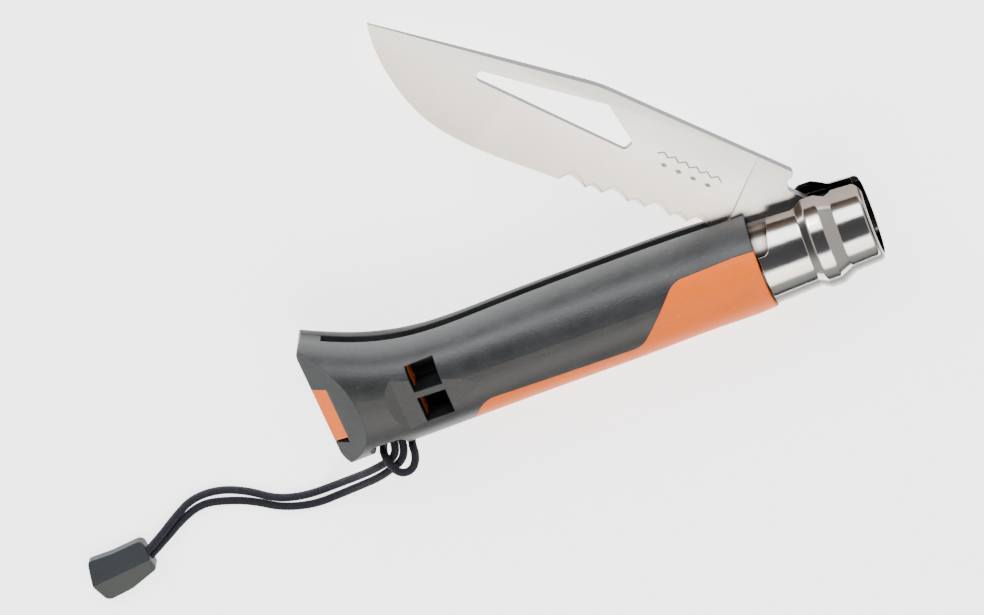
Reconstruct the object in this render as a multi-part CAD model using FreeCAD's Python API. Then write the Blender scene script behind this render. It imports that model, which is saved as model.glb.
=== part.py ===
import FreeCAD, Part
import math
import os

# Folding rigging knife lying on its side, blade half open.  Millimetres.
# Built about the blade pivot: +X runs along the handle towards the collar's front end,
# +Y points out of the blade slot, +Z is the pivot axis.  Everything is moved at the end so that the
# origin is the middle of the underside of the knife, without its cord.

# ---- blade ------------------------------------------------------------------------------------
BLADE_REACH = 93.2          # pivot to tip
BLADE_THICK = 1.9
BLADE_ANGLE = 132.0         # half open: 0 is fully open, 180 would be in line with the handle
SPINE_HEIGHT = 8.3          # spine above the blade's centre line
SPINE_KNEE = 50.5           # where the spine starts to fall to the tip
SPINE_KNEE_RADIUS = 25.0
TIP_DROP = -0.4
BELLY_DEPTH = -13.5
SHOULDER_REACH = 10.6       # back of the blade behind which the narrow tang starts
TANG_HEIGHT = 4.7
TANG_DEPTH = -5.2
TANG_BACK = -5.0
HEEL_REACH = 18.9           # last serration, next to the tang
HEEL_DEPTH = -8.85
SERRATION_START = 48.7
SERRATION_START_DEPTH = -12.3
LONG_SCALLOP = 5.05
SHORT_SCALLOP = 3.2
LONG_SCALLOP_DEPTH = 1.45
SHORT_SCALLOP_DEPTH = 0.7
SCALLOP_LEAN = 0.32         # deepest point, as a fraction of the pitch from the tip side
GRIND_WIDTH = 17.0
EDGE_HALF_THICK = 0.18
KEY_FRONT = 71.3            # shackle key cut-out
KEY_BACK = 40.0
KEY_TOP = 5.15
KEY_TOP_REACH = 47.4
KEY_BOTTOM = -1.6

# ---- pivot, collar and lock ring --------------------------------------------------------------
RIVET_RADIUS = 2.0
RIVET_RUNNING_FIT = 0.05
RIVET_HEAD_RADIUS = 2.2     # low cone of the head, under the ring's rib
RIVET_HEAD_TOP_RADIUS = 1.5
RIVET_HEAD_HEIGHT = 0.3
COLLAR_BACK = -12.8
COLLAR_FRONT = 7.5
RING_FRONT_OVERHANG = 1.4   # the ring's rim turns in ahead of the fixed collar
RING_BACK_GAP = 0.3
RING_BACK_RADIUS = 9.5
RING_FRONT_RADIUS = 8.35
RING_NOSE = 1.2             # front rim is curled in by this radius
RIB_RADIUS = 9.95
RIB_BACK = -3.7             # feet and crest of the pressed rib
RIB_CREST_BACK = -2.0
RIB_CREST_FRONT = 0.4
RIB_FRONT = 3.0
RIB_FOOT_ROUND = 0.7
RIB_CREST_ROUND = 1.1
SHEET = 0.8                 # steel sheet of both collars
RING_FIT = 0.15             # ring on collar
COLLAR_NECK_FIT = 0.02
RING_GAP_HALF = 3.6         # gap of the ring behind its rib, in the rib and in front of it
RIB_GAP_HALF = 3.2
FRONT_GAP_HALF = 1.5
GAP_CORNER = 1.3
COLLAR_SLOT_HALF = 3.3
RING_CUT_BACK = -8.9        # the ring is shorter beside the slot
RING_CUT_FOOT = -10.4
RING_STEP_HEIGHT = 3.6

# ---- handle -----------------------------------------------------------------------------------
HANDLE_BUTT = -99.8
SLOT_HALF = 1.2
SLOT_FLOOR = -8.5
NECK_SLOT_FLOOR = -5.8
SLOT_END = -95.0
GRIP_THICK = 1.2
# along the handle: position, top, bottom, half width, roundness (2 is an ellipse, more is squarer)
STATIONS = [
    (-12.8, 9.5, -9.8, 9.9, 2.0),
    (-24.0, 9.6, -10.1, 9.85, 2.0),
    (-36.0, 9.6, -10.4, 9.8, 2.05),
    (-48.0, 9.4, -10.6, 9.7, 2.1),
    (-58.0, 9.1, -10.6, 9.6, 2.2),
    (-67.0, 8.7, -10.7, 9.4, 2.3),
    (-75.0, 8.6, -10.8, 9.3, 2.4),
    (-83.0, 9.5, -10.9, 9.4, 2.5),
    (-90.0, 11.6, -11.0, 9.5, 2.5),
    (-96.0, 14.3, -11.2, 9.5, 2.5),
    (-103.0, 18.0, -11.4, 9.4, 2.5),
]
SECTION_POINTS = 20
BUTT_CROWN = 15.3           # corners of the butt's outline, before they are rounded
BUTT_FOOT = -9.9
BUTT_TOP_ROUND = 3.2
BUTT_FOOT_ROUND = 3.4
BEVEL_START = -92.0
BEVEL_HALF_WIDTH = 4.0      # half width left at the end of the butt

# ---- whistle ----------------------------------------------------------------------------------
WINDOW_BACK = -81.0
WINDOW_FRONT = -75.4
WINDOW_HEIGHT = 5.1
WINDOW_RIB = 1.3
WINDOW_MID = 0.35           # height of the middle of the rib
CHAMBER_FRONT = -66.0
CHAMBER_FLOOR = 2.2         # leaves a wall beside the blade slot
CHAMBER_ROOF = 6.2
MOUTH_SLIT = 1.5            # height of the slit under the insert, at the mouth
PANEL_BACK_Z = 8.65
PANEL_FRONT_Z = 9.4
PANEL_BACK = -84.5
PANEL_FRONT = -68.5
WINDWAY_LOW = 2.8
WINDWAY_HIGH = 4.0
WINDWAY_MARGIN = 0.45
WHISTLE_BORDER = 0.15       # insert above and below its windways

# ---- lanyard ----------------------------------------------------------------------------------
EYE_BACK = -93.9            # eye across the bottom of the handle, with a bar for the cord
EYE_FRONT = -86.7
EYE_TOP = -7.6
EYE_ROUND = 1.2
EYE_BAR_RADIUS = 0.95
EYE_BAR_Y = -10.1
CORD_D = 1.5
CORD_LIFT = 0.01            # cord above the ground
WRAP_FIT = 0.02             # cord round the bar
UPPER_X = -90.1             # where each strand goes up to the bar
LOWER_X = -88.5
PULL_THICK = 3.6
PULL_EDGE = 0.6             # height of the pull's two roof slopes at its sides
PULL_ANGLE = 186.8
PULL_AT = (-146.1, -20.9)
# the pull seen from above: along it from the cord's entry, and across it
PULL_PLAN = [(-0.2, 3.4), (6.6, 3.45), (11.9, 4.0), (13.1, -0.4), (12.7, -5.4), (7.0, -5.2), (0.2, -3.2)]
PULL_ROUND = [1.2, 8.0, 0.9, 5.0, 1.3, 5.0, 1.3]
PULL_RIDGE = -0.4
PULL_ENTRY = (-146.2, -20.8)
PULL_ENTRY_ANGLE = 208.0    # the strands go in at a slant
PULL_ENTRY_HALF = 0.67
PULL_ENTRY_LIFT = 0.4       # one strand lies a little over the other there
PULL_BORE_DEPTH = 5.0
PULL_BORE_FIT = 0.03
GROUND = -RIB_RADIUS        # the knife lies on the rib of the ring
CORD_Z = GROUND + CORD_D / 2 + CORD_LIFT
PULL_CORD_Z = GROUND + PULL_THICK * 0.46

BIG = 60.0


def V(x, y, z=0.0):
    return FreeCAD.Vector(x, y, z)


def ring_outer(x):
    slope = (RING_FRONT_RADIUS - RING_BACK_RADIUS) / (COLLAR_FRONT - COLLAR_BACK)
    return RING_BACK_RADIUS + slope * (x - COLLAR_BACK)


def rounded(points, radii):
    """Closed outline through the points, each corner rounded by its radius (0 keeps it sharp)."""
    n = len(points)
    edges = []
    starts = []
    ends = []
    arcs = []
    for i in range(n):
        p, a, b = points[i], points[i - 1], points[(i + 1) % n]
        r = radii[i]
        if not r:
            starts.append(p)
            ends.append(p)
            arcs.append(None)
            continue
        u = (a - p).normalize()
        w = (b - p).normalize()
        half = math.acos(max(-1.0, min(1.0, u.dot(w)))) / 2
        cut = r / math.tan(half)
        mid = (u + w).normalize()
        centre = p + mid * (r / math.sin(half))
        starts.append(p + u * cut)
        ends.append(p + w * cut)
        arcs.append(Part.Arc(p + u * cut, centre - mid * r, p + w * cut).toShape())
    for i in range(n):
        if arcs[i]:
            edges.append(arcs[i])
        a, b = ends[i], starts[(i + 1) % n]
        if a.distanceToPoint(b) > 1e-5:
            edges.append(Part.makeLine(a, b))
    return Part.Wire(edges)


def prism(wire, z0, z1):
    face = Part.Face(wire)
    face.translate(V(0, 0, z0))
    return face.extrude(V(0, 0, z1 - z0))


def side_prism(points, z0, z1, radii=None):
    pts = [V(x, y) for x, y in points]
    return prism(rounded(pts, radii or [0] * len(pts)), z0, z1)


def plan_prism(points, y0, y1):
    """Extrusion along Y of an outline given as (x, z)."""
    pts = [V(x, y0, z) for x, z in points]
    face = Part.Face(Part.makePolygon(pts + [pts[0]]))
    return face.extrude(V(0, y1 - y0, 0))


def box(x0, x1, y0, y1, z0, z1):
    return Part.makeBox(x1 - x0, y1 - y0, z1 - z0, V(x0, y0, z0))


def about_x(profile, radii=None):
    """Solid of revolution about X from (x, radius) points."""
    pts = [V(x, r) for x, r in profile]
    face = Part.Face(rounded(pts, radii or [0] * len(pts)))
    return face.revolve(V(0, 0, 0), V(1, 0, 0), 360)


def tube(points, radius):
    """Cord through the points: straight runs joined by tangent arcs.  Returns solid, length, arc radii."""
    pts = [V(*p) for p in points]
    edges = []
    radii = []
    last = pts[0]
    for i in range(1, len(pts) - 1):
        a, p, b = pts[i - 1], pts[i], pts[i + 1]
        u = (a - p).normalize()
        w = (b - p).normalize()
        cut = 0.45 * min((a - p).Length, (b - p).Length)
        half = math.acos(max(-1.0, min(1.0, u.dot(w)))) / 2
        r = cut * math.tan(half)
        mid = (u + w).normalize()
        centre = p + mid * math.hypot(r, cut)
        edges.append(Part.makeLine(last, p + u * cut))
        edges.append(Part.Arc(p + u * cut, centre - mid * r, p + w * cut).toShape())
        last = p + w * cut
        radii.append(r)
    edges.append(Part.makeLine(last, pts[-1]))
    path = Part.Wire(edges)
    start = pts[0]
    circle = Part.Wire(Part.makeCircle(radius, start, pts[1] - pts[0]))
    solid = path.makePipeShell([circle], True, True)
    return solid, path.Length, radii


# ---- blade ------------------------------------------------------------------------------------
def scallop_tips():
    """Serration tips from the plain edge back to the heel, with each scallop's depth."""
    run = SERRATION_START - HEEL_REACH
    rise = HEEL_DEPTH - SERRATION_START_DEPTH
    tips = [(SERRATION_START, SERRATION_START_DEPTH)]
    depths = []
    u = SERRATION_START
    k = 0
    while u > HEEL_REACH + 1.0:
        pitch = LONG_SCALLOP if k % 2 == 0 else SHORT_SCALLOP
        depths.append(LONG_SCALLOP_DEPTH if k % 2 == 0 else SHORT_SCALLOP_DEPTH)
        u = max(u - pitch, HEEL_REACH)
        tips.append((u, SERRATION_START_DEPTH + rise * (SERRATION_START - u) / run))
        k += 1
    return tips, depths


def serration_edges():
    tips, depths = scallop_tips()
    edges = []
    for (u0, v0), (u1, v1), depth in zip(tips, tips[1:], depths):
        um = u0 + (u1 - u0) * SCALLOP_LEAN
        vm = v0 + (v1 - v0) * SCALLOP_LEAN + depth
        curve = Part.BSplineCurve()
        curve.interpolate([V(u0, v0), V(um, vm), V((um + u1) / 2, (vm * 0.62 + v1 * 0.38)), V(u1, v1)])
        edges.append(curve.toShape())
    return edges


def belly_curve():
    pts = [(BLADE_REACH, TIP_DROP), (89.3, -4.7), (83.0, -9.3), (76.0, -12.4),
           (68.5, BELLY_DEPTH), (59.0, -13.2), (SERRATION_START, SERRATION_START_DEPTH)]
    curve = Part.BSplineCurve()
    curve.interpolate([V(u, v) for u, v in pts])
    return curve.toShape()


def back_edges():
    """Heel, tang and spine, from the last serration round to the tip."""
    pts = [V(HEEL_REACH, HEEL_DEPTH), V(10.5, -6.0), V(0, TANG_DEPTH), V(TANG_BACK, -3.6),
           V(TANG_BACK, 2.8), V(-3.0, TANG_HEIGHT), V(10.3, TANG_HEIGHT), V(11.7, 6.0),
           V(SHOULDER_REACH, SPINE_HEIGHT), V(SPINE_KNEE, SPINE_HEIGHT - 0.7), V(BLADE_REACH, TIP_DROP)]
    radii = [0, 4.0, 3.0, 2.5, 2.0, 2.0, 0.3, 1.0, 0.8, SPINE_KNEE_RADIUS, 0]
    wire = rounded(pts, radii)
    closing = Part.makeLine(pts[-1], pts[0])
    return [e for e in wire.Edges if abs(e.Length - closing.Length) > 1e-6]


def key_outline():
    pts = [V(KEY_FRONT, 0.62), V(KEY_TOP_REACH, KEY_TOP), V(KEY_BACK, 0.35),
           V(KEY_BACK + 0.7, KEY_BOTTOM), V(KEY_FRONT, KEY_BOTTOM + 0.3)]
    return rounded(pts, [0.9, 0.8, 0.8, 0.7, 0.9])


def grind_cutter(start, end, side):
    """Wedge that thins the blade towards the line from start to end."""
    along = (end - start)
    length = along.Length
    along.normalize()
    inward = V(-along.y, along.x, 0)
    if inward.y < 0:
        inward = inward * -1
    full = BLADE_THICK / 2
    grow = (full - EDGE_HALF_THICK) / GRIND_WIDTH
    a = start - inward * 6 + V(0, 0, side * (EDGE_HALF_THICK - grow * 6))
    b = start + inward * GRIND_WIDTH + V(0, 0, side * full)
    c = start + inward * GRIND_WIDTH + V(0, 0, side * (full + 2))
    d = start - inward * 6 + V(0, 0, side * (full + 2))
    face = Part.Face(Part.makePolygon([a, b, c, d, a]))
    return face.extrude(along * length)


def make_blade():
    edges = serration_edges() + [belly_curve()] + back_edges()
    wire = Part.Wire(Part.__sortEdges__(edges))
    half = BLADE_THICK / 2
    blade = prism(wire, -half, half)
    blade = blade.cut(prism(key_outline(), -half - 1, half + 1))
    blade = blade.cut(Part.makeCylinder(RIVET_RADIUS + RIVET_RUNNING_FIT, 4 * half, V(0, 0, -2 * half)))
    heel = V(HEEL_REACH - 2.0, HEEL_DEPTH + 0.2)
    belly = V(66.0, BELLY_DEPTH)
    point = V(BLADE_REACH + 1.0, TIP_DROP - 1.4)
    for side in (-1, 1):
        blade = blade.cut(grind_cutter(heel, heel + (belly - heel) * 1.8, side))
        blade = blade.cut(grind_cutter(belly - (point - belly) * 0.3, point + (point - belly) * 0.2, side))
    blade = blade.removeSplitter().mirror(V(0, 0, 0), V(0, 1, 0))
    blade.rotate(V(0, 0, 0), V(0, 0, 1), BLADE_ANGLE)
    return blade


# ---- collars ----------------------------------------------------------------------------------
def make_ring():
    back = COLLAR_BACK + RING_BACK_GAP
    front = COLLAR_FRONT + RING_FRONT_OVERHANG
    outer = [(back, ring_outer(back)), (RIB_BACK, ring_outer(RIB_BACK)), (RIB_CREST_BACK, RIB_RADIUS),
             (RIB_CREST_FRONT, RIB_RADIUS), (RIB_FRONT, ring_outer(RIB_FRONT)), (front, ring_outer(front))]
    # the inner side keeps one sheet's thickness, measured square to the rib's flanks
    flank = SHEET / 4
    inner = [(front, ring_outer(front) - RING_NOSE), (front - SHEET, ring_outer(front) - RING_NOSE),
             (front - RING_NOSE, ring_outer(front) - SHEET), (RIB_FRONT - flank, ring_outer(RIB_FRONT) - SHEET),
             (RIB_CREST_FRONT - flank, RIB_RADIUS - SHEET), (RIB_CREST_BACK + flank, RIB_RADIUS - SHEET),
             (RIB_BACK + flank, ring_outer(RIB_BACK) - SHEET), (back, ring_outer(back) - SHEET)]
    radii = [0.2, RIB_FOOT_ROUND, RIB_CREST_ROUND, RIB_CREST_ROUND, RIB_FOOT_ROUND, RING_NOSE - 0.05]
    ring = about_x(outer + inner, radii + [0] * len(inner))
    gap = plan_prism([(-BIG, -RING_GAP_HALF), (-4.4, -RING_GAP_HALF), (-3.4, -RIB_GAP_HALF), (2.2, -RIB_GAP_HALF),
                      (3.6, -FRONT_GAP_HALF), (front - GAP_CORNER, -FRONT_GAP_HALF),
                      (front, -FRONT_GAP_HALF - GAP_CORNER), (BIG, -BIG), (BIG, BIG),
                      (front, FRONT_GAP_HALF + GAP_CORNER), (front - GAP_CORNER, FRONT_GAP_HALF),
                      (3.6, FRONT_GAP_HALF), (2.2, RIB_GAP_HALF), (-3.4, RIB_GAP_HALF), (-4.4, RING_GAP_HALF),
                      (-BIG, RING_GAP_HALF)], 0, BIG)
    ring = ring.cut(gap)
    step = side_prism([(-20, RING_STEP_HEIGHT), (RING_CUT_FOOT, RING_STEP_HEIGHT), (RING_CUT_BACK, 9.0),
                       (RING_CUT_BACK, 20), (-20, 20)], -BIG, BIG, [0, 1.2, 0, 0, 0])
    return ring.cut(step)


def make_collar():
    r_back = ring_outer(COLLAR_BACK) - SHEET - RING_FIT
    r_front = ring_outer(COLLAR_FRONT) - SHEET - RING_FIT
    collar = about_x([(COLLAR_BACK, r_back), (COLLAR_FRONT, r_front),
                      (COLLAR_FRONT, r_front - SHEET), (COLLAR_BACK, r_back - SHEET)])
    collar = collar.cut(box(-BIG, BIG, 0, BIG, -COLLAR_SLOT_HALF, COLLAR_SLOT_HALF))
    return collar.cut(Part.makeCylinder(RIVET_RADIUS, 2 * BIG, V(0, 0, -BIG)))


def make_rivet():
    seat = ring_outer(-RIVET_HEAD_RADIUS) - SHEET - RING_FIT
    rivet = Part.makeCylinder(RIVET_RADIUS, 2 * seat, V(0, 0, -seat))
    for side in (-1, 1):
        head = Part.makeCone(RIVET_HEAD_RADIUS, RIVET_HEAD_TOP_RADIUS, RIVET_HEAD_HEIGHT,
                             V(0, 0, side * seat), V(0, 0, side))
        rivet = rivet.fuse(head)
    return rivet.removeSplitter()


# ---- handle -----------------------------------------------------------------------------------
def section(station, inset):
    x, top, bottom, half, power = station
    mid = (top + bottom) / 2
    high = (top - bottom) / 2 - inset
    wide = half - inset
    pts = []
    for i in range(SECTION_POINTS):
        t = 2 * math.pi * (i + 0.5) / SECTION_POINTS
        c, s = math.cos(t), math.sin(t)
        z = math.copysign(abs(c) ** (2.0 / power), c) * wide
        y = math.copysign(abs(s) ** (2.0 / power), s) * high + mid
        pts.append(V(x, y, z))
    curve = Part.BSplineCurve()
    curve.interpolate(pts, PeriodicFlag=True)
    return Part.Wire(curve.toShape())


def handle_loft(inset):
    return Part.makeLoft([section(s, inset) for s in STATIONS], True, False)


def handle_outer():
    """Outside form of the handle behind the collar: loft, trimmed to the butt's outline and bevels."""
    form = handle_loft(0.0)
    low = STATIONS[-2][2]
    end = HANDLE_BUTT
    outline = side_prism([(0, low - 1.0), (0, 30), (-86.0, 30), (-88.0, 18.5), (end, BUTT_CROWN),
                          (end, BUTT_FOOT), (end + 6.0, low - 1.0)],
                         -BIG, BIG, [0, 0, 0, 0, BUTT_TOP_ROUND, BUTT_FOOT_ROUND, 0])
    form = form.common(outline)
    for side in (-1, 1):
        bevel = plan_prism([(BEVEL_START, side * 9.6), (HANDLE_BUTT, side * BEVEL_HALF_WIDTH),
                            (HANDLE_BUTT - 5, side * (BEVEL_HALF_WIDTH - 3.2)), (HANDLE_BUTT - 5, side * 30),
                            (BEVEL_START, side * 30)], -BIG, BIG)
        form = form.cut(bevel)
    return form


def neck():
    r_back = ring_outer(COLLAR_BACK) - 2 * SHEET - RING_FIT - COLLAR_NECK_FIT
    r_front = ring_outer(COLLAR_FRONT) - 2 * SHEET - RING_FIT - COLLAR_NECK_FIT
    return about_x([(COLLAR_BACK - 3, 0), (COLLAR_BACK - 3, r_back), (COLLAR_BACK, r_back),
                    (COLLAR_FRONT, r_front), (COLLAR_FRONT, 0)])


def grip_region():
    """Side view of the soft grip under the handle."""
    pts = [(COLLAR_BACK + 1, -BIG), (COLLAR_BACK + 1, 5.1), (-28.6, 4.8), (-38.4, -5.7),
           (-69.5, -5.2), (-76.0, -12.5), (-76.0, -BIG)]
    return side_prism(pts, -BIG, BIG, [0, 0, 4.5, 4.5, 5.0, 0, 0])


def slot_tool():
    pts = [(COLLAR_FRONT + 1, NECK_SLOT_FLOOR), (-10.5, NECK_SLOT_FLOOR), (-14.5, SLOT_FLOOR), (-72.0, SLOT_FLOOR),
           (-79.5, -4.7), (-88.0, 0.6), (SLOT_END, 8.0), (SLOT_END, BIG), (COLLAR_FRONT + 1, BIG)]
    return side_prism(pts, -SLOT_HALF, SLOT_HALF, [0, 2.0, 2.0, 6.0, 6.0, 6.0, 2.0, 0, 0])


def windows():
    low = WINDOW_MID - WINDOW_RIB / 2
    high = WINDOW_MID + WINDOW_RIB / 2
    return [(low - WINDOW_HEIGHT, low), (high, high + WINDOW_HEIGHT)]


def whistle_body():
    (low, _), (_, high) = windows()
    return box(HANDLE_BUTT - 5, WINDOW_BACK, low - WHISTLE_BORDER, high + WHISTLE_BORDER, CHAMBER_FLOOR, CHAMBER_ROOF)


def make_insert(outer):
    insert = whistle_body().common(outer)
    for low, high in windows():
        insert = insert.cut(box(-BIG * 2, WINDOW_BACK + 1, low + WINDWAY_MARGIN, high - WINDWAY_MARGIN,
                                WINDWAY_LOW, WINDWAY_HIGH))
    low = windows()[0][0] - WHISTLE_BORDER
    slit = side_prism([(HANDLE_BUTT - 1, low - 1), (HANDLE_BUTT - 1, low), (HANDLE_BUTT + 4.2, low + MOUTH_SLIT),
                       (HANDLE_BUTT + 4.2, low - 1)], -BIG, BIG)
    return insert.cut(slit)


def eye_cut():
    cut = side_prism([(EYE_BACK, -BIG), (EYE_BACK, EYE_TOP), (EYE_FRONT, EYE_TOP), (EYE_FRONT, -BIG)],
                     -BIG, BIG, [0, EYE_ROUND, EYE_ROUND, 0])
    bar = Part.makeCylinder(EYE_BAR_RADIUS, EYE_FRONT - EYE_BACK + 2, V(EYE_BACK - 1, EYE_BAR_Y, 0), V(1, 0, 0))
    return cut.cut(bar)


def make_handle(outer, grip):
    body = outer.fuse(neck())
    body = body.cut(grip)
    body = body.cut(slot_tool())
    body = body.cut(Part.makeCylinder(RIVET_RADIUS, 2 * BIG, V(0, 0, -BIG)))
    body = body.cut(plan_prism([(PANEL_BACK - 4, 10.2), (PANEL_BACK, PANEL_BACK_Z), (PANEL_FRONT, PANEL_FRONT_Z),
                                (PANEL_FRONT, 20), (PANEL_BACK - 4, 20)], -BIG, BIG))
    body = body.cut(whistle_body())
    for low, high in windows():
        body = body.cut(box(WINDOW_BACK, CHAMBER_FRONT, low, high, CHAMBER_FLOOR, CHAMBER_ROOF))
        body = body.cut(box(WINDOW_BACK, WINDOW_FRONT, low, high, CHAMBER_FLOOR, 20))
    return body.cut(eye_cut())


def make_grip(outer):
    skin = outer.common(grip_region())
    return skin.cut(handle_loft(GRIP_THICK))


# ---- lanyard ----------------------------------------------------------------------------------
def pull_point(along, across, z):
    a = math.radians(PULL_ANGLE)
    x = PULL_AT[0] + along * math.cos(a) + across * math.sin(a)
    y = PULL_AT[1] + along * math.sin(a) - across * math.cos(a)
    return (x, y, z)


def entry_point(depth, side):
    """Point on a strand's straight end, that deep in the pull (negative is in front of it)."""
    a = math.radians(PULL_ENTRY_ANGLE)
    across = side * PULL_ENTRY_HALF
    x = PULL_ENTRY[0] + depth * math.cos(a) + across * math.sin(a)
    y = PULL_ENTRY[1] + depth * math.sin(a) - across * math.cos(a)
    return (x, y, PULL_CORD_Z + side * PULL_ENTRY_LIFT)


def strand_routes():
    """The two strands, from the top of the bar to the pull."""
    wrap = EYE_BAR_RADIUS + CORD_D / 2 + WRAP_FIT
    top = EYE_BAR_Y + wrap
    upper = [
        (UPPER_X, top, 0.0),
        (UPPER_X, top, wrap),
        (UPPER_X - 0.1, -11.6, wrap),
        (-91.4, -13.8, 1.4),
        (-94.4, -15.0, 0.5),
        (-98.4, -17.0, -2.6),
        (-102.4, -18.7, -5.8),
        (-107.0, -20.2, -8.6),
        (-113.0, -20.6, CORD_Z),
        (-118.6, -19.2, CORD_Z),
        (-123.4, -15.3, CORD_Z),
        (-128.6, -13.1, CORD_Z),
        (-134.0, -13.2, CORD_Z),
        (-138.4, -15.4, CORD_Z + 0.6),
        entry_point(-3.0, 1),
        entry_point(PULL_BORE_DEPTH - 0.4, 1),
    ]
    lower = [
        (LOWER_X, top, 0.0),
        (LOWER_X, top, wrap),
        (LOWER_X - 0.2, -12.3, wrap),
        (-90.2, -15.0, 1.3),
        (-93.2, -16.6, 0.2),
        (-96.8, -18.5, -1.9),
        (-101.2, -20.4, -5.2),
        (-106.0, -22.2, -8.3),
        (-112.2, -23.0, CORD_Z),
        (-118.4, -21.3, CORD_Z),
        (-123.0, -18.0, CORD_Z),
        (-127.4, -16.1, CORD_Z),
        (-132.2, -14.9, CORD_Z),
        (-136.8, -16.3, CORD_Z),
        entry_point(-3.0, -1),
        entry_point(PULL_BORE_DEPTH - 0.4, -1),
    ]
    return upper, lower


def hitch_route():
    """The folded middle of the cord: behind the bar, under it, round in front of both strands and back."""
    wrap = EYE_BAR_RADIUS + CORD_D / 2 + WRAP_FIT
    top = EYE_BAR_Y + wrap
    low = EYE_BAR_Y - wrap
    return [
        (UPPER_X, top, 0.0),
        (UPPER_X, top, -wrap),
        (-92.9, low, -wrap - 0.5),
        (-92.9, low - 0.1, 1.9),
        (-92.5, -14.3, 2.9),
        (-91.3, -16.9, 2.9),
        (-88.9, -17.1, 2.5),
        (-87.3, -14.8, 2.2),
        (-87.1, low - 0.15, 1.9),
        (-87.1, low - 0.05, -wrap - 0.5),
        (LOWER_X, top, -wrap),
        (LOWER_X, top, 0.0),
    ]


def make_pull():
    """One moulded piece with two roof slopes, and a hole for each strand."""
    plan = rounded([V(*pull_point(along, across, 0)) for along, across in PULL_PLAN], PULL_ROUND)
    pull = prism(plan, GROUND, GROUND + PULL_THICK)
    wide = 8.0
    roof = [(-wide, 0.0), (-wide, PULL_EDGE), (PULL_RIDGE, PULL_THICK), (wide - 1.6, PULL_EDGE), (wide - 1.6, 0.0)]
    pts = [V(*pull_point(-2.0, across, GROUND + height)) for across, height in roof]
    face = Part.Face(Part.makePolygon(pts + [pts[0]]))
    run = V(*pull_point(16.0, 0, 0)) - V(*pull_point(0, 0, 0))
    pull = pull.common(face.extrude(run))
    for side in (-1, 1):
        start = V(*entry_point(-2.0, side))
        end = V(*entry_point(PULL_BORE_DEPTH, side))
        bore = Part.makeCylinder(CORD_D / 2 + PULL_BORE_FIT, (end - start).Length, start, end - start)
        pull = pull.cut(bore)
    return pull


def main():
    outer = handle_outer()
    grip = make_grip(outer)
    parts = {
        "blade": make_blade(),
        "lock_ring": make_ring(),
        "fixed_collar": make_collar(),
        "pivot_rivet": make_rivet(),
        "handle_body": make_handle(outer, grip),
        "belly_grip": grip,
        "whistle_insert": make_insert(outer),
    }
    knife = Part.makeCompound(list(parts.values())).optimalBoundingBox(False)
    shift = V(-(knife.XMin + knife.XMax) / 2, -(knife.YMin + knife.YMax) / 2, -knife.ZMin)
    upper, lower = strand_routes()
    for name, route in (("cord_upper", upper), ("cord_lower", lower), ("cord_hitch", hitch_route())):
        solid, length, radii = tube(route, CORD_D / 2)
        parts[name] = solid
        print(name, "length %.1f" % length, "arc radii", [round(r, 1) for r in radii],
              "volume %.2f" % solid.Volume, "section x length %.2f" % (length * math.pi * CORD_D ** 2 / 4))
    parts["cord_pull"] = make_pull()
    os.makedirs("parts", exist_ok=True)
    for name, shape in parts.items():
        solids = shape.Solids
        if len(solids) == 1:
            shape = solids[0]
        shape.translate(shift)
        shape.exportStep("parts/%s.step" % name)
        box_ = shape.optimalBoundingBox(False)
        print(name, "solids", len(solids), "valid", shape.isValid(), "volume %.1f" % shape.Volume,
              "x %.2f %.2f y %.2f %.2f z %.2f %.2f" % (box_.XMin, box_.XMax, box_.YMin, box_.YMax,
                                                       box_.ZMin, box_.ZMax))
    print("pivot in the row frame", [round(c, 4) for c in shift])


main()
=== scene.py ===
import math
import bpy
from mathutils import Matrix, Vector


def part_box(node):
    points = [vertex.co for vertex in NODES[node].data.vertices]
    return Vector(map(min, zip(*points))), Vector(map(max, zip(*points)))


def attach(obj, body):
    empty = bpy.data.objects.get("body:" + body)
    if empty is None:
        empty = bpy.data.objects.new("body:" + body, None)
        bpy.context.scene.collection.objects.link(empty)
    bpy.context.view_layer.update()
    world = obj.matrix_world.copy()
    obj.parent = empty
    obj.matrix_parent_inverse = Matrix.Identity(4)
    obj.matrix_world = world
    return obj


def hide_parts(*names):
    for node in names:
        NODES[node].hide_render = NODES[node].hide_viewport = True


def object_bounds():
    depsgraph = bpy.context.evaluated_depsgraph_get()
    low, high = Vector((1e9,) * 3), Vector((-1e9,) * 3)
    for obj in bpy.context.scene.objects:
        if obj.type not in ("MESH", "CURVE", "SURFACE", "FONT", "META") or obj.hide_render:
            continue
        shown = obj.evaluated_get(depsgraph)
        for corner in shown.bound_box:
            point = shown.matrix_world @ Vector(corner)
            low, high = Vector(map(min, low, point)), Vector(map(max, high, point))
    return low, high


# Folding rigging knife on a pale floor. Positions are in the row frame, in metres.
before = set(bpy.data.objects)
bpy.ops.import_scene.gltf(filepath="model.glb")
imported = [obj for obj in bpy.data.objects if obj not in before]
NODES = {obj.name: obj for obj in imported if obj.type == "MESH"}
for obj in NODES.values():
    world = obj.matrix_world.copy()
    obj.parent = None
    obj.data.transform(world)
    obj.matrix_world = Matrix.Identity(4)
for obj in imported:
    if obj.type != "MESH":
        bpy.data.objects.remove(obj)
MM = 0.001
loaded_low, loaded_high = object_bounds()
rivet_low, rivet_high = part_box("pivot_rivet")
PIVOT = (Vector(rivet_low) + Vector(rivet_high)) / 2
SCENE = bpy.context.scene


def at(x, y, z=0.0):
    """A point given in millimetres from the blade's pivot."""
    return PIVOT + Vector((x, y, z)) * MM


def link(name, data):
    obj = bpy.data.objects.new(name, data)
    SCENE.collection.objects.link(obj)
    return obj


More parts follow.
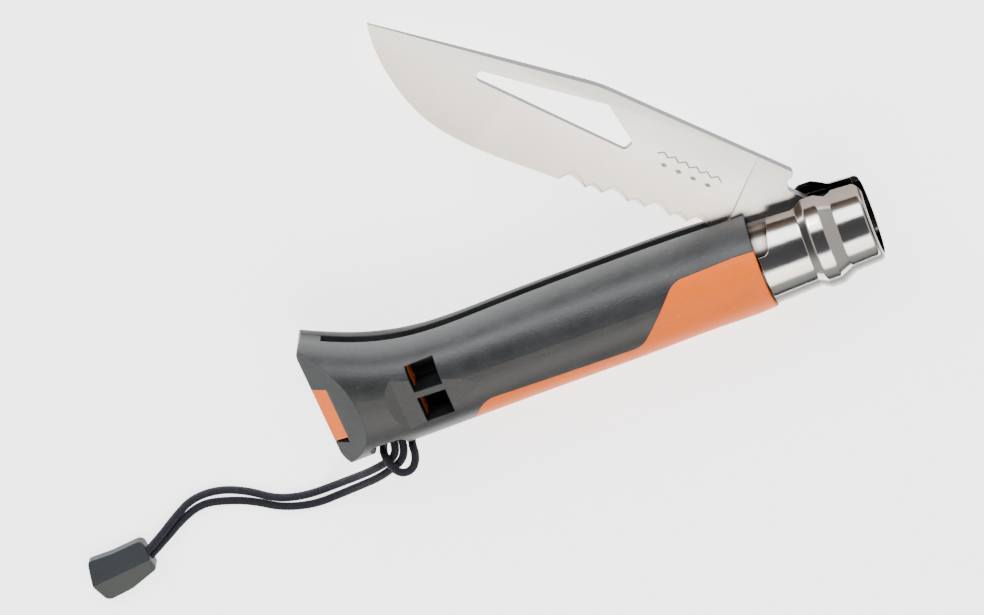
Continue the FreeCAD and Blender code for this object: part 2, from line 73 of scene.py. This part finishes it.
# ---- camera -------------------------------------------------------------------------------------
YAW = math.radians(11.0)
ELEVATION = math.radians(24.0)
ROLL = math.radians(-23.9268)
DISTANCE = 700.0            # millimetres
LENS = 137.98
LOOK_AT = (-62.8215, 8.0925)
back = Vector((math.sin(YAW) * math.cos(ELEVATION), math.sin(ELEVATION),
               math.cos(YAW) * math.cos(ELEVATION)))
side = Vector((math.cos(YAW), 0.0, -math.sin(YAW)))
up = back.cross(side)
right = math.cos(ROLL) * side + math.sin(ROLL) * up
top = math.cos(ROLL) * up - math.sin(ROLL) * side
camera = link("camera", bpy.data.cameras.new("camera"))
camera.data.lens = LENS
camera.data.sensor_width = 36.0
camera.data.clip_start = 0.01
turn = Matrix((right, top, back)).transposed()
camera.matrix_world = Matrix.Translation(at(*LOOK_AT) + back * DISTANCE * MM) @ turn.to_4x4()
SCENE.camera = camera

# ---- cord, in millimetres from the pivot ----------------------------------------------------------
CORD_D = 1.5
BRAID_D = 1.6               # over the crests of the plait
CORE_RADIUS = 0.61
CARRIERS = 8                # each way round
BRAID_PITCH = 5.2
LINE_STEP = 0.14            # between points along a cord
GROUND = -9.95
CORD_Z = GROUND + CORD_D / 2 + 0.01
BAR_Y = -10.1
WRAP = 0.95 + CORD_D / 2 + 0.02
WRAP_BACK = WRAP + 0.5      # the hitch is a little slack behind the bar
BAR_TOP = BAR_Y + WRAP
BAR_LOW = BAR_Y - WRAP
PULL_THICK = 3.6
PULL_Z = GROUND + PULL_THICK * 0.46
ENTRY_X, ENTRY_Y = -146.2, -20.8
ENTRY_ANGLE = math.radians(208.0)
ENTRY_HALF = 0.67
ENTRY_LIFT = 0.4
BEFORE_PULL, IN_PULL = -3.0, 4.6


def entry(depth, side):
    """Point on a strand's straight end, that deep in the pull."""
    across = side * ENTRY_HALF
    return (ENTRY_X + depth * math.cos(ENTRY_ANGLE) + across * math.sin(ENTRY_ANGLE),
            ENTRY_Y + depth * math.sin(ENTRY_ANGLE) - across * math.cos(ENTRY_ANGLE),
            PULL_Z + side * ENTRY_LIFT)


UPPER = [(-90.1, BAR_TOP, 0.0), (-90.1, BAR_TOP, WRAP), (-90.2, -11.6, WRAP), (-91.4, -13.8, 1.4),
         (-94.4, -15.0, 0.5), (-98.4, -17.0, -2.6), (-102.4, -18.7, -5.8), (-107.0, -20.2, -8.6),
         (-113.0, -20.6, CORD_Z), (-118.6, -19.2, CORD_Z), (-123.4, -15.3, CORD_Z), (-128.6, -13.1, CORD_Z),
         (-134.0, -13.2, CORD_Z), (-138.4, -15.4, CORD_Z + 0.6), entry(BEFORE_PULL, 1), entry(IN_PULL, 1)]
LOWER = [(-88.5, BAR_TOP, 0.0), (-88.5, BAR_TOP, WRAP), (-88.7, -12.3, WRAP), (-90.2, -15.0, 1.3),
         (-93.2, -16.6, 0.2), (-96.8, -18.5, -1.9), (-101.2, -20.4, -5.2), (-106.0, -22.2, -8.3),
         (-112.2, -23.0, CORD_Z), (-118.4, -21.3, CORD_Z), (-123.0, -18.0, CORD_Z), (-127.4, -16.1, CORD_Z),
         (-132.2, -14.9, CORD_Z), (-136.8, -16.3, CORD_Z), entry(BEFORE_PULL, -1), entry(IN_PULL, -1)]
HITCH = [(-90.1, BAR_TOP, 0.0), (-90.1, BAR_TOP, -WRAP), (-92.9, BAR_LOW, -WRAP_BACK),
         (-92.9, BAR_LOW - 0.1, 1.9), (-92.5, -14.3, 2.9), (-91.3, -16.9, 2.9), (-88.9, -17.1, 2.5),
         (-87.3, -14.8, 2.2), (-87.1, BAR_LOW - 0.15, 1.9), (-87.1, BAR_LOW - 0.05, -WRAP_BACK),
         (-88.5, BAR_TOP, -WRAP), (-88.5, BAR_TOP, 0.0)]


def centre_curve(name, points):
    curve = bpy.data.curves.new(name, "CURVE")
    curve.dimensions = "3D"
    spline = curve.splines.new("NURBS")
    spline.points.add(len(points) - 1)
    for p, q in zip(spline.points, points):
        p.co = (*at(*q), 1.0)
    spline.order_u = 3
    spline.use_endpoint_u = True
    curve.resolution_u = 10
    return link(name, curve)


def centre_line(obj, step):
    """Evenly spaced points on the curve's own line, each with its tangent and two crossing normals."""
    bpy.context.view_layer.update()
    mesh = bpy.data.meshes.new_from_object(obj.evaluated_get(bpy.context.evaluated_depsgraph_get()))
    raw = [v.co.copy() for v in mesh.vertices]
    bpy.data.meshes.remove(mesh)
    lengths = [0.0]
    for a, b in zip(raw, raw[1:]):
        lengths.append(lengths[-1] + (b - a).length)
    total = lengths[-1]
    count = max(2, int(total / step))
    out = []
    k = 0
    for i in range(count + 1):
        s = total * i / count
        while k < len(lengths) - 2 and lengths[k + 1] < s:
            k += 1
        span = max(lengths[k + 1] - lengths[k], 1e-12)
        out.append((s, raw[k].lerp(raw[k + 1], (s - lengths[k]) / span)))
    rows = []
    normal = None
    for i, (s, p) in enumerate(out):
        t = (out[min(i + 2, count)][1] - out[max(i - 2, 0)][1]).normalized()
        if normal is None:
            normal = t.orthogonal().normalized()
        normal = (normal - t * normal.dot(t)).normalized()
        rows.append((s, p, t, normal.copy(), t.cross(normal)))
    return rows


def braid_mesh(name, rows, radius, carriers, pitch):
    """Plaited cover: as many carriers each way, each going over and under the ones it crosses."""
    verts, faces = [], []
    scale = radius / 0.75
    wave = 0.055 * scale
    half_wide, half_thick = 0.235 * scale, 0.085 * scale
    middle = radius - wave - half_thick
    sides = 6
    for way in (-1, 1):
        for k in range(carriers):
            base = len(verts)
            for s, p, t, n, b in rows:
                turned = 2 * math.pi * (s / MM) / pitch
                angle = way * turned + 2 * math.pi * k / carriers
                lift = way * wave * math.cos(turned * carriers)
                out = n * math.cos(angle) + b * math.sin(angle)
                round_ = b * math.cos(angle) - n * math.sin(angle)
                slope = 2 * math.pi * middle / pitch * way
                along = (t + round_ * slope).normalized()
                across = along.cross(out).normalized()
                c = p + out * (middle + lift) * MM
                for j in range(sides):
                    a = 2 * math.pi * j / sides
                    verts.append(c + across * (half_wide * math.cos(a) * MM)
                                 + out * (half_thick * math.sin(a) * MM))
            for i in range(len(rows) - 1):
                for j in range(sides):
                    q = base + i * sides
                    w = (j + 1) % sides
                    faces.append((q + j, q + w, q + sides + w, q + sides + j))
            last = base + (len(rows) - 1) * sides
            faces.append(tuple(base + j for j in reversed(range(sides))))
            faces.append(tuple(last + j for j in range(sides)))
    mesh = bpy.data.meshes.new(name)
    mesh.from_pydata(verts, [], faces)
    mesh.polygons.foreach_set("use_smooth", [True] * len(mesh.polygons))
    return link(name, mesh)


# ---- materials ----------------------------------------------------------------------------------
# Colours are linear. Noise scales are per metre, and bump and rounding distances are in millimetres.
BLADE_ANGLE = math.radians(132.0)
BLADE_WIDE = 24.0           # across which the blade's tone changes
GRIND_STOP = 17.0           # from the pivot, along the blade
GRIND_STOP_HALF = 2.2
TANG_HALF = 7.9
FLOOR_GLOW = 2.6


class Shader:
    """A material's node tree with a few short cuts."""

    def __init__(self, name):
        self.material = bpy.data.materials.new(name)
        self.material.use_nodes = True
        self.tree = self.material.node_tree
        self.bsdf = self.tree.nodes["Principled BSDF"]
        self.place = self.new("ShaderNodeTexCoord").outputs["Object"]

    def new(self, kind, **values):
        node = self.tree.nodes.new(kind)
        for key, value in values.items():
            setattr(node, key, value)
        return node

    def join(self, a, b):
        self.tree.links.new(a, b)

    def set(self, **values):
        for key, value in values.items():
            self.bsdf.inputs[key.replace("_", " ")].default_value = value

    def mapped(self, scale=(1, 1, 1), turn=(0, 0, 0), move=(0, 0, 0), kind="POINT"):
        node = self.new("ShaderNodeMapping", vector_type=kind)
        node.inputs["Scale"].default_value = scale
        node.inputs["Rotation"].default_value = turn
        node.inputs["Location"].default_value = move
        self.join(self.place, node.inputs["Vector"])
        return node.outputs["Vector"]

    def noise(self, scale, detail=3.0, where=None, rough=0.55):
        node = self.new("ShaderNodeTexNoise")
        node.inputs["Scale"].default_value = scale
        node.inputs["Detail"].default_value = detail
        node.inputs["Roughness"].default_value = rough
        self.join(where or self.place, node.inputs["Vector"])
        return node.outputs["Fac"]

    def ramp(self, source, stops):
        node = self.new("ShaderNodeValToRGB")
        elements = node.color_ramp.elements
        while len(elements) < len(stops):
            elements.new(0.5)
        for element, (pos, value) in zip(elements, stops):
            element.position = pos
            element.color = (*value, 1.0) if isinstance(value, tuple) else (value, value, value, 1.0)
        self.join(source, node.inputs["Fac"])
        return node.outputs["Color"]

    def math(self, operation, a, b=0.0, c=0.0):
        node = self.new("ShaderNodeMath", operation=operation)
        for i, value in enumerate((a, b, c)):
            if isinstance(value, (int, float)):
                node.inputs[i].default_value = value
            else:
                self.join(value, node.inputs[i])
        return node.outputs["Value"]

    def mix(self, a, b, fac, blend="MIX"):
        node = self.new("ShaderNodeMix", data_type="RGBA", blend_type=blend)
        for socket, value in ((node.inputs[0], fac), (node.inputs[6], a), (node.inputs[7], b)):
            if isinstance(value, (int, float)):
                socket.default_value = value
            elif isinstance(value, tuple):
                socket.default_value = (*value, 1.0)
            else:
                self.join(value, socket)
        return node.outputs[2]

    def bump(self, heights, edge=0.0):
        """Bumps from (height, strength, distance) one after another, on rounded edges if edge is given."""
        normal = None
        if edge:
            round_node = self.new("ShaderNodeBevel", samples=4)
            round_node.inputs["Radius"].default_value = edge * MM
            normal = round_node.outputs["Normal"]
        for height, strength, distance in heights:
            node = self.new("ShaderNodeBump")
            node.inputs["Strength"].default_value = strength
            node.inputs["Distance"].default_value = distance * MM
            self.join(height, node.inputs["Height"])
            if normal:
                self.join(normal, node.inputs["Normal"])
            normal = node.outputs["Normal"]
        self.join(normal, self.bsdf.inputs["Normal"])

    def facing(self):
        """The surface's direction in the piece's own space, as three sockets."""
        split = self.new("ShaderNodeSeparateXYZ")
        self.join(self.new("ShaderNodeTexCoord").outputs["Normal"], split.inputs[0])
        return split.outputs["X"], split.outputs["Y"], split.outputs["Z"]

    def colour(self, socket):
        self.join(socket, self.bsdf.inputs["Base Color"])

    def roughness(self, socket):
        self.join(socket, self.bsdf.inputs["Roughness"])


def moulded(name, colour, rough, grain, edge, spread=0.25):
    """Moulded plastic with a fine eroded grain, small specks and worn edges."""
    m = Shader(name)
    fine = m.noise(2600.0, 2.0)
    soft = m.noise(180.0, 4.0)
    dust = m.ramp(m.noise(1500.0, 1.0), [(0.0, 0.0), (0.66, 0.0), (0.74, 1.0)])
    dark = tuple(c * (1 - spread) for c in colour)
    light = tuple(min(1.0, c * (1 + spread)) for c in colour)
    tone = m.ramp(soft, [(0.3, dark), (0.5, colour), (0.72, light)])
    speck = tuple(min(1.0, c * 2.2 + 0.015) for c in colour)
    m.colour(m.mix(tone, speck, m.math("MULTIPLY", dust, 0.35)))
    m.roughness(m.math("MULTIPLY_ADD", soft, 0.16, rough - 0.08))
    m.bump([(fine, grain, 0.06), (soft, 0.12, 0.12)], edge)
    m.set(Specular_IOR_Level=0.5)
    return m


def charcoal():
    """Dark grey glass-filled plastic, with painted shade where it faces down: darker and duller there."""
    m = moulded("charcoal_plastic", (0.024, 0.027, 0.030), 0.40, 0.75, 0.25)
    z = m.facing()[2]
    # painted shade: surfaces facing down are painted darker and given less specular
    under = m.ramp(m.math("MULTIPLY_ADD", z, 0.5, 0.5), [(0.46, 0.12), (0.56, 1.0)])
    old = m.bsdf.inputs["Base Color"].links[0].from_socket
    m.colour(m.mix(old, under, 1.0, "MULTIPLY"))
    m.join(m.math("MULTIPLY", under, 0.5), m.bsdf.inputs["Specular IOR Level"])
    return m.material


def orange(name, rough):
    m = moulded(name, (1.0, 0.175, 0.0), rough, 0.4, 0.15, 0.06)
    m.set(Specular_IOR_Level=0.35)
    return m.material


def blade_steel():
    """Satin steel brushed across the blade, with a painted reflection lightest along its middle and painted
    shade on its cut edges.
    """
    m = Shader("blade_steel")
    # along the blade in x, across it in y, from the pivot
    turned = m.mapped(turn=(0, 0, BLADE_ANGLE), move=tuple(PIVOT), kind="TEXTURE")
    split = m.new("ShaderNodeSeparateXYZ")
    m.join(turned, split.inputs[0])
    across = m.math("MULTIPLY_ADD", split.outputs["Y"], 1 / (BLADE_WIDE * MM), 0.5)
    stretch = m.new("ShaderNodeMapping")
    stretch.inputs["Scale"].default_value = (3200.0, 90.0, 900.0)
    m.join(turned, stretch.inputs["Vector"])
    brushed = m.noise(1.0, 3.0, stretch.outputs["Vector"])
    cloud = m.noise(60.0, 3.0, turned)
    # painted reflection: the tone across the blade, lightest along its middle and beige towards one side,
    # copies the studio's reflection
    tone = m.ramp(across, [(0.0, (0.56, 0.55, 0.54)), (0.2, (0.74, 0.73, 0.71)),
                           (0.48, (0.92, 0.90, 0.87)), (0.72, (0.86, 0.80, 0.73)),
                           (1.0, (0.72, 0.66, 0.60))])
    # painted shade: the cut edges, which face sideways, are painted dark
    flat = m.math("ABSOLUTE", m.facing()[2])
    edges = m.ramp(flat, [(0.45, (0.10, 0.105, 0.115)), (0.8, (1.0, 1.0, 1.0))])
    # the step where the grind stops beside the tang doesn't get the cut edges' painted shade
    near_u = m.math("LESS_THAN", m.math("ABSOLUTE", m.math("ADD", split.outputs["X"], -GRIND_STOP * MM)),
                    GRIND_STOP_HALF * MM)
    near_v = m.math("LESS_THAN", m.math("ABSOLUTE", split.outputs["Y"]), TANG_HALF * MM)
    edges = m.mix(edges, (1.0, 1.0, 1.0), m.math("MULTIPLY", near_u, near_v))
    tone = m.mix(tone, m.ramp(brushed, [(0.3, 0.82), (0.7, 1.0)]), 0.6, "MULTIPLY")
    m.colour(m.mix(tone, edges, 1.0, "MULTIPLY"))
    m.roughness(m.math("ADD", m.math("MULTIPLY", brushed, 0.10), m.math("MULTIPLY_ADD", cloud, 0.10, 0.24)))
    m.bump([(brushed, 0.10, 0.02), (cloud, 0.06, 0.3)], 0.08)
    m.set(Metallic=1.0)
    return m.material


def polished(name, value, rough):
    """Polished sheet steel with smears and fine pits; painted reflection bands and painted shade make it
    darker on its flanks, underside and rims, and in closed-in places.
    """
    m = Shader(name)
    stretched = m.mapped(scale=(260.0, 2200.0, 2200.0))
    hair = m.noise(1.0, 4.0, stretched)
    smear = m.noise(220.0, 4.0)
    pits = m.ramp(m.noise(900.0, 2.0), [(0.0, 1.0), (0.32, 0.0), (1.0, 0.0)])
    clean = (value, value * 0.99, value * 0.97)
    smeared = (value * 0.78, value * 0.74, value * 0.70)
    base = m.mix(clean, smeared, m.math("MULTIPLY", smear, 0.35))
    x, y, z = m.facing()
    # direction round the knife's long axis, as a fraction of a turn
    round_ = m.math("MULTIPLY_ADD", m.math("ARCTAN2", y, z), 1 / (2 * math.pi), 0.5)
    # painted reflection: bright and dark bands by the surface's direction round the long axis, copying the
    # studio's reflection
    painted_reflection_bands = m.ramp(round_, [(0.0, (0.10, 0.10, 0.10)), (0.365, (0.14, 0.14, 0.135)),
                           (0.385, (0.02, 0.014, 0.012)), (0.402, (0.02, 0.014, 0.012)),
                           (0.412, (0.9, 0.9, 0.9)), (0.63, (1.0, 1.0, 1.0)),
                           (0.655, (0.16, 0.11, 0.09)), (0.70, (0.10, 0.08, 0.07)),
                           (1.0, (0.08, 0.07, 0.07))])
    # painted shade on the rims, which face along the long axis
    painted_shade_rim = m.ramp(m.math("ABSOLUTE", x), [(0.52, (1.0, 1.0, 1.0)), (0.66, (0.10, 0.09, 0.09)),
                                         (0.9, (0.22, 0.22, 0.22))])
    base = m.mix(m.mix(base, painted_reflection_bands, 0.9, "MULTIPLY"), painted_shade_rim, 1.0, "MULTIPLY")
    # painted shade: darker where the surface is closed in, from ambient occlusion
    shade = m.new("ShaderNodeAmbientOcclusion", samples=8)
    shade.inputs["Distance"].default_value = 14 * MM
    painted_shade_closed_in = m.ramp(shade.outputs["AO"], [(0.0, (0.16, 0.13, 0.13)), (0.6, (0.24, 0.21, 0.19)),
                                             (0.9, (0.85, 0.83, 0.8)), (1.0, (1.0, 1.0, 1.0))])
    m.colour(m.mix(base, painted_shade_closed_in, 1.0, "MULTIPLY"))
    m.roughness(m.math("ADD", m.math("MULTIPLY_ADD", smear, 0.12, rough), m.math("MULTIPLY", pits, 0.12)))
    m.bump([(hair, 0.05, 0.02), (smear, 0.22, 0.08)], 0.12)
    m.set(Metallic=1.0)
    return m.material


def painted_serration_shade():
    m = Shader("serration_painted_shade")
    hair = m.noise(1.0, 3.0, m.mapped(scale=(900.0, 2600.0, 900.0)))
    # painted shade: the scallops' ground faces are painted dark brown and not metallic, for the shade along
    # the serrated edge
    m.colour(m.ramp(hair, [(0.3, (0.030, 0.020, 0.016)), (0.55, (0.075, 0.055, 0.045)),
                           (0.8, (0.20, 0.17, 0.15))]))
    m.roughness(m.math("MULTIPLY_ADD", hair, 0.2, 0.28))
    m.bump([(hair, 0.3, 0.03)])
    m.set(Metallic=0.0, Specular_IOR_Level=0.3)
    return m.material


def etched():
    m = Shader("etched_mark")
    fine = m.noise(4200.0, 2.0)
    m.colour(m.ramp(fine, [(0.3, (0.30, 0.28, 0.26)), (0.7, (0.46, 0.43, 0.40))]))
    m.bump([(fine, 0.6, 0.02)])
    m.set(Metallic=0.6, Roughness=0.6)
    return m.material


def yarn():
    m = Shader("braided_cord")
    fibre = m.noise(5200.0, 2.0)
    soft = m.noise(700.0, 3.0)
    m.colour(m.mix(m.ramp(fibre, [(0.3, (0.003, 0.004, 0.009)), (0.7, (0.014, 0.016, 0.028))]),
                   (0.035, 0.038, 0.055), m.math("MULTIPLY", soft, 0.2)))
    m.roughness(m.math("MULTIPLY_ADD", fibre, 0.2, 0.62))
    m.bump([(fibre, 0.7, 0.05)])
    m.set(Sheen_Weight=0.06, Sheen_Roughness=0.5, Specular_IOR_Level=0.3)
    return m.material


def rubber():
    """Moulded rubber with painted shade and painted light on its two roof slopes, so they differ a little
    in colour.
    """
    m = moulded("pull_rubber", (0.022, 0.028, 0.032), 0.56, 0.5, 0.3, 0.18)
    split = m.new("ShaderNodeSeparateXYZ")
    m.join(m.new("ShaderNodeTexCoord").outputs["Normal"], split.inputs[0])
    # painted shade and light: the slope facing +Y is painted darker, the one facing -Y lighter
    slope = m.ramp(m.math("MULTIPLY_ADD", split.outputs["Y"], 2.0, 0.5), [(0.3, 0.0), (0.7, 1.0)])
    dark = m.mix((0.045, 0.056, 0.052), (0.008, 0.013, 0.020), slope)
    old = m.bsdf.inputs["Base Color"].links[0].from_socket
    m.colour(m.mix(dark, old, 0.25))
    return m.material


def floor_paint():
    m = Shader("pale_floor")
    fine = m.noise(900.0, 2.0)
    m.colour(m.ramp(fine, [(0.3, (0.86, 0.86, 0.86)), (0.7, (0.90, 0.90, 0.90))]))
    m.set(Roughness=0.8, Emission_Color=(1, 1, 1, 1), Emission_Strength=FLOOR_GLOW)
    return m.material


STEEL = blade_steel()
RING = polished("polished_ring", 0.80, 0.06)
COLLAR = polished("polished_collar", 0.62, 0.12)
RIVET = polished("rivet_steel", 0.66, 0.2)
CHARCOAL = charcoal()
GRIP = orange("orange_elastomer", 0.55)
INSERT = orange("orange_plastic", 0.42)
YARN = yarn()
RUBBER = rubber()
SERRATION = painted_serration_shade()
MARK = etched()


def dress(obj, material):
    obj.data.materials.clear()
    obj.data.materials.append(material)
    return obj


dress(NODES["blade"], STEEL)
dress(NODES["lock_ring"], RING)
dress(NODES["fixed_collar"], COLLAR)
dress(NODES["pivot_rivet"], RIVET)
dress(NODES["handle_body"], CHARCOAL)
dress(NODES["belly_grip"], GRIP)
dress(NODES["whistle_insert"], INSERT)
dress(NODES["cord_pull"], RUBBER)

# ---- cord and its plaited cover -----------------------------------------------------------------
for node, route, far_end, length in (("cord_upper", UPPER, "fitting", 74.4),
                                     ("cord_lower", LOWER, "fitting", 75.8),
                                     ("cord_hitch", HITCH, "object", 30.0)):
    core = centre_curve(node + "_line", route)
    rows = centre_line(core, LINE_STEP * MM)
    cover = braid_mesh(node + "_braid", rows, BRAID_D / 2, CARRIERS, BRAID_PITCH)
    dress(cover, YARN)
    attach(cover, "handle")
    core.data.bevel_depth = CORE_RADIUS * MM
    core.data.bevel_resolution = 4
    core.data.use_fill_caps = True
    dress(core, YARN)
    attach(core, "handle")
    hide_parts(node)

# ---- serrations and marks -----------------------------------------------------------------------
# along the blade and across it, in millimetres from the pivot
SERRATION_START = (48.7, -12.3)
HEEL = (18.9, -8.85)
LONG_SCALLOP, LONG_DEPTH = 5.05, 1.45
SHORT_SCALLOP, SHORT_DEPTH = 3.2, 0.7
SCALLOP_LEAN = 0.32
SCALLOP_STEPS = 14
HALF_THICK = 0.95
EDGE_HALF_THICK = 0.18
GRIND_WIDTH = 17.0
GRIND_CORNERS = (Vector((16.9, -8.65)), Vector((66.0, -13.5)), Vector((94.2, -1.8)))


def on_blade(u, v, z):
    """A point of the blade: along it, across it towards the spine, and up, in millimetres."""
    c, s = math.cos(BLADE_ANGLE), math.sin(BLADE_ANGLE)
    return at(u * c + v * s, u * s - v * c, z)


def scallops():
    """The serrations' tips, and the depth of each scallop between them."""
    (start, start_v), (heel, heel_v) = SERRATION_START, HEEL
    u, k, tips, depths = start, 0, [(start, start_v)], []
    while u > heel + 1.0:
        depths.append(LONG_DEPTH if k % 2 == 0 else SHORT_DEPTH)
        u = max(u - (LONG_SCALLOP if k % 2 == 0 else SHORT_SCALLOP), heel)
        tips.append((u, start_v + (heel_v - start_v) * (start - u) / (start - heel)))
        k += 1
    return tips, depths


def surface_z(u, v):
    """Height of the ground blade's near side above its middle plane."""
    height = HALF_THICK
    for a, b in zip(GRIND_CORNERS, GRIND_CORNERS[1:]):
        along = (b - a).normalized()
        inward = Vector((-along.y, along.x))
        distance = (Vector((u, v)) - a).dot(inward)
        slope = (HALF_THICK - EDGE_HALF_THICK) / GRIND_WIDTH
        height = min(height, max(EDGE_HALF_THICK, EDGE_HALF_THICK + slope * distance))
    return height


def through(knots, u):
    """Height at u of the polynomial that passes through the knots."""
    v = 0.0
    for a, (ua, va) in enumerate(knots):
        w = 1.0
        for b, (ub, _) in enumerate(knots):
            if a != b:
                w *= (u - ub) / (ua - ub)
        v += va * w
    return v


def serration_faces():
    """The scallops' ground faces, one strip each, from the edge to where they meet the blade's side."""
    tips, depths = scallops()
    verts, faces = [], []
    for (u0, v0), (u1, v1), depth in zip(tips, tips[1:], depths):
        um = u0 + (u1 - u0) * SCALLOP_LEAN
        vm = v0 + (v1 - v0) * SCALLOP_LEAN + depth
        knots = [(u0, v0), (um, vm), ((um + u1) / 2, vm * 0.62 + v1 * 0.38), (u1, v1)]
        grind = 0.55 + 0.35 * depth
        base = len(verts)
        for i in range(SCALLOP_STEPS + 1):
            u = u0 + (u1 - u0) * i / SCALLOP_STEPS
            v = through(knots, u)
            grow = math.sin(math.pi * i / SCALLOP_STEPS) ** 0.6
            v_in = v + 0.30 + grind * grow * 0.5
            verts.append(on_blade(u, v + 0.03, 0.04))
            verts.append(on_blade(u, (v + v_in) / 2, (surface_z(u, v_in) + 0.04) / 2 + 0.06))
            verts.append(on_blade(u, v_in, surface_z(u, v_in) + 0.006))
        for i in range(SCALLOP_STEPS):
            q = base + 3 * i
            faces.append((q, q + 3, q + 4, q + 1))
            faces.append((q + 1, q + 4, q + 5, q + 2))
    mesh = bpy.data.meshes.new("serration_grind")
    mesh.from_pydata(verts, [], faces)
    mesh.polygons.foreach_set("use_smooth", [True] * len(mesh.polygons))
    return link("serration_grind", mesh)


def flat_mark(name, shapes, place):
    """Thin plates, each a closed outline given in millimetres and laid on a surface by place(a, b)."""
    verts, faces = [], []
    for shape in shapes:
        base = len(verts)
        count = len(shape)
        verts += [place(a, b, 0.0) for a, b in shape]
        verts += [place(a, b, 0.035) for a, b in shape]
        faces.append(tuple(base + count + i for i in range(count)))
        for i in range(count):
            w = (i + 1) % count
            faces.append((base + i, base + w, base + count + w, base + count + i))
    mesh = bpy.data.meshes.new(name)
    mesh.from_pydata(verts, [], faces)
    return link(name, mesh)


def bar(a0, b0, a1, b1, wide):
    d = Vector((a1 - a0, b1 - b0)).normalized()
    n = Vector((-d.y, d.x)) * wide / 2
    return [(a0 + n.x, b0 + n.y), (a0 - n.x, b0 - n.y), (a1 - n.x, b1 - n.y), (a1 + n.x, b1 + n.y)]


def rhombus(a, b, half_a, half_b):
    return [(a - half_a, b), (a, b - half_b), (a + half_a, b), (a, b + half_b)]


# a plain zigzag line with four rhombi beside it
MARK_START, MARK_STEP, MARK_LOW, MARK_HIGH = 22.0, 1.1, 0.5, 1.3
wave = []
for k in range(12):
    a0, a1 = MARK_START + MARK_STEP * k, MARK_START + MARK_STEP * (k + 1)
    b0, b1 = (MARK_HIGH, MARK_LOW) if k % 2 else (MARK_LOW, MARK_HIGH)
    wave.append(bar(a0, b0, a1, b1, 0.28))
wave += [rhombus(24.0 + 3.0 * k, -1.1, 0.75, 0.45) for k in range(4)]
blade_mark = flat_mark("blade_mark", wave, lambda a, b, h: on_blade(a, b, surface_z(a, b) - 0.02 + h))
dress(blade_mark, MARK)
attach(blade_mark, "blade")

grind = serration_faces()
dress(grind, SERRATION)
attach(grind, "blade")

# ---- floor and light ----------------------------------------------------------------------------
floor_mesh = bpy.data.meshes.new("floor")
floor_mesh.from_pydata([(-3, -3, 0), (3, -3, 0), (3, 3, 0), (-3, 3, 0)], [], [(0, 1, 2, 3)])
floor = link("floor", floor_mesh)
floor.location = (0, 0, loaded_low[2] - 0.0001)
floor_mesh.materials.append(floor_paint())

world = bpy.data.worlds.new("studio")
SCENE.world = world
world.use_nodes = True
tree = world.node_tree
background = tree.nodes["Background"]
coord = tree.nodes.new("ShaderNodeTexCoord")
parts = tree.nodes.new("ShaderNodeSeparateXYZ")
tree.links.new(coord.outputs["Generated"], parts.inputs[0])
angle = tree.nodes.new("ShaderNodeMath")
angle.operation = "ARCTAN2"
tree.links.new(parts.outputs["Y"], angle.inputs[0])
tree.links.new(parts.outputs["Z"], angle.inputs[1])
scaled = tree.nodes.new("ShaderNodeMath")
scaled.operation = "MULTIPLY_ADD"
tree.links.new(angle.outputs[0], scaled.inputs[0])
scaled.inputs[1].default_value = 1 / (2 * math.pi)
scaled.inputs[2].default_value = 0.5
bands = tree.nodes.new("ShaderNodeValToRGB")
# degrees from straight up towards the blade slot's side, and the studio's colour there
STUDIO = [(-180, (0.3, 0.3, 0.3)), (-100, (0.2, 0.2, 0.2)), (-92, (0.05, 0.04, 0.04)),
          (-82, (0.06, 0.05, 0.05)), (-76, (0.32, 0.35, 0.33)), (-56, (0.50, 0.52, 0.48)),
          (-50, (3.6, 3.3, 2.9)), (-22, (4.6, 4.4, 4.1)), (-14, (0.10, 0.10, 0.11)),
          (34, (0.06, 0.06, 0.065)), (40, (4.6, 4.6, 4.6)), (64, (4.8, 4.8, 4.8)),
          (70, (0.30, 0.24, 0.20)), (104, (0.22, 0.17, 0.14)), (180, (0.3, 0.3, 0.3))]
elements = bands.color_ramp.elements
while len(elements) < len(STUDIO):
    elements.new(0.5)
for element, (degrees, value) in zip(elements, STUDIO):
    element.position = degrees / 360.0 + 0.5
    element.color = (*value, 1.0)
tree.links.new(scaled.outputs[0], bands.inputs["Fac"])
ends = tree.nodes.new("ShaderNodeMath")
ends.operation = "ABSOLUTE"
tree.links.new(parts.outputs["X"], ends.inputs[0])
reach = tree.nodes.new("ShaderNodeMapRange")
reach.interpolation_type = "SMOOTHSTEP"
reach.inputs["From Min"].default_value = 0.42
reach.inputs["From Max"].default_value = 0.62
tree.links.new(ends.outputs[0], reach.inputs["Value"])
blend = tree.nodes.new("ShaderNodeMix")
blend.data_type = "RGBA"
tree.links.new(reach.outputs["Result"], blend.inputs[0])
tree.links.new(bands.outputs["Color"], blend.inputs[6])
far_ends = tree.nodes.new("ShaderNodeValToRGB")
far_ends.color_ramp.elements[0].position = 0.80
far_ends.color_ramp.elements[0].color = (0.55, 0.53, 0.50, 1.0)
far_ends.color_ramp.elements[1].position = 0.88
far_ends.color_ramp.elements[1].color = (0.07, 0.07, 0.07, 1.0)
tree.links.new(ends.outputs[0], far_ends.inputs["Fac"])
tree.links.new(far_ends.outputs["Color"], blend.inputs[7])
tree.links.new(blend.outputs[2], background.inputs["Color"])
background.inputs["Strength"].default_value = 1.0


def area_light(name, where, target, size, power, colour=(1, 1, 1)):
    data = bpy.data.lights.new(name, "AREA")
    data.shape = "RECTANGLE"
    data.size, data.size_y = size
    data.energy = power
    data.color = colour
    obj = link(name, data)
    obj.location = where
    obj.rotation_euler = (Vector(target) - Vector(where)).to_track_quat("-Z", "Y").to_euler()
    return obj


area_light("key", (-0.3, 0.82, 0.62), (0, 0, 0), (0.5, 0.25), 3.0)
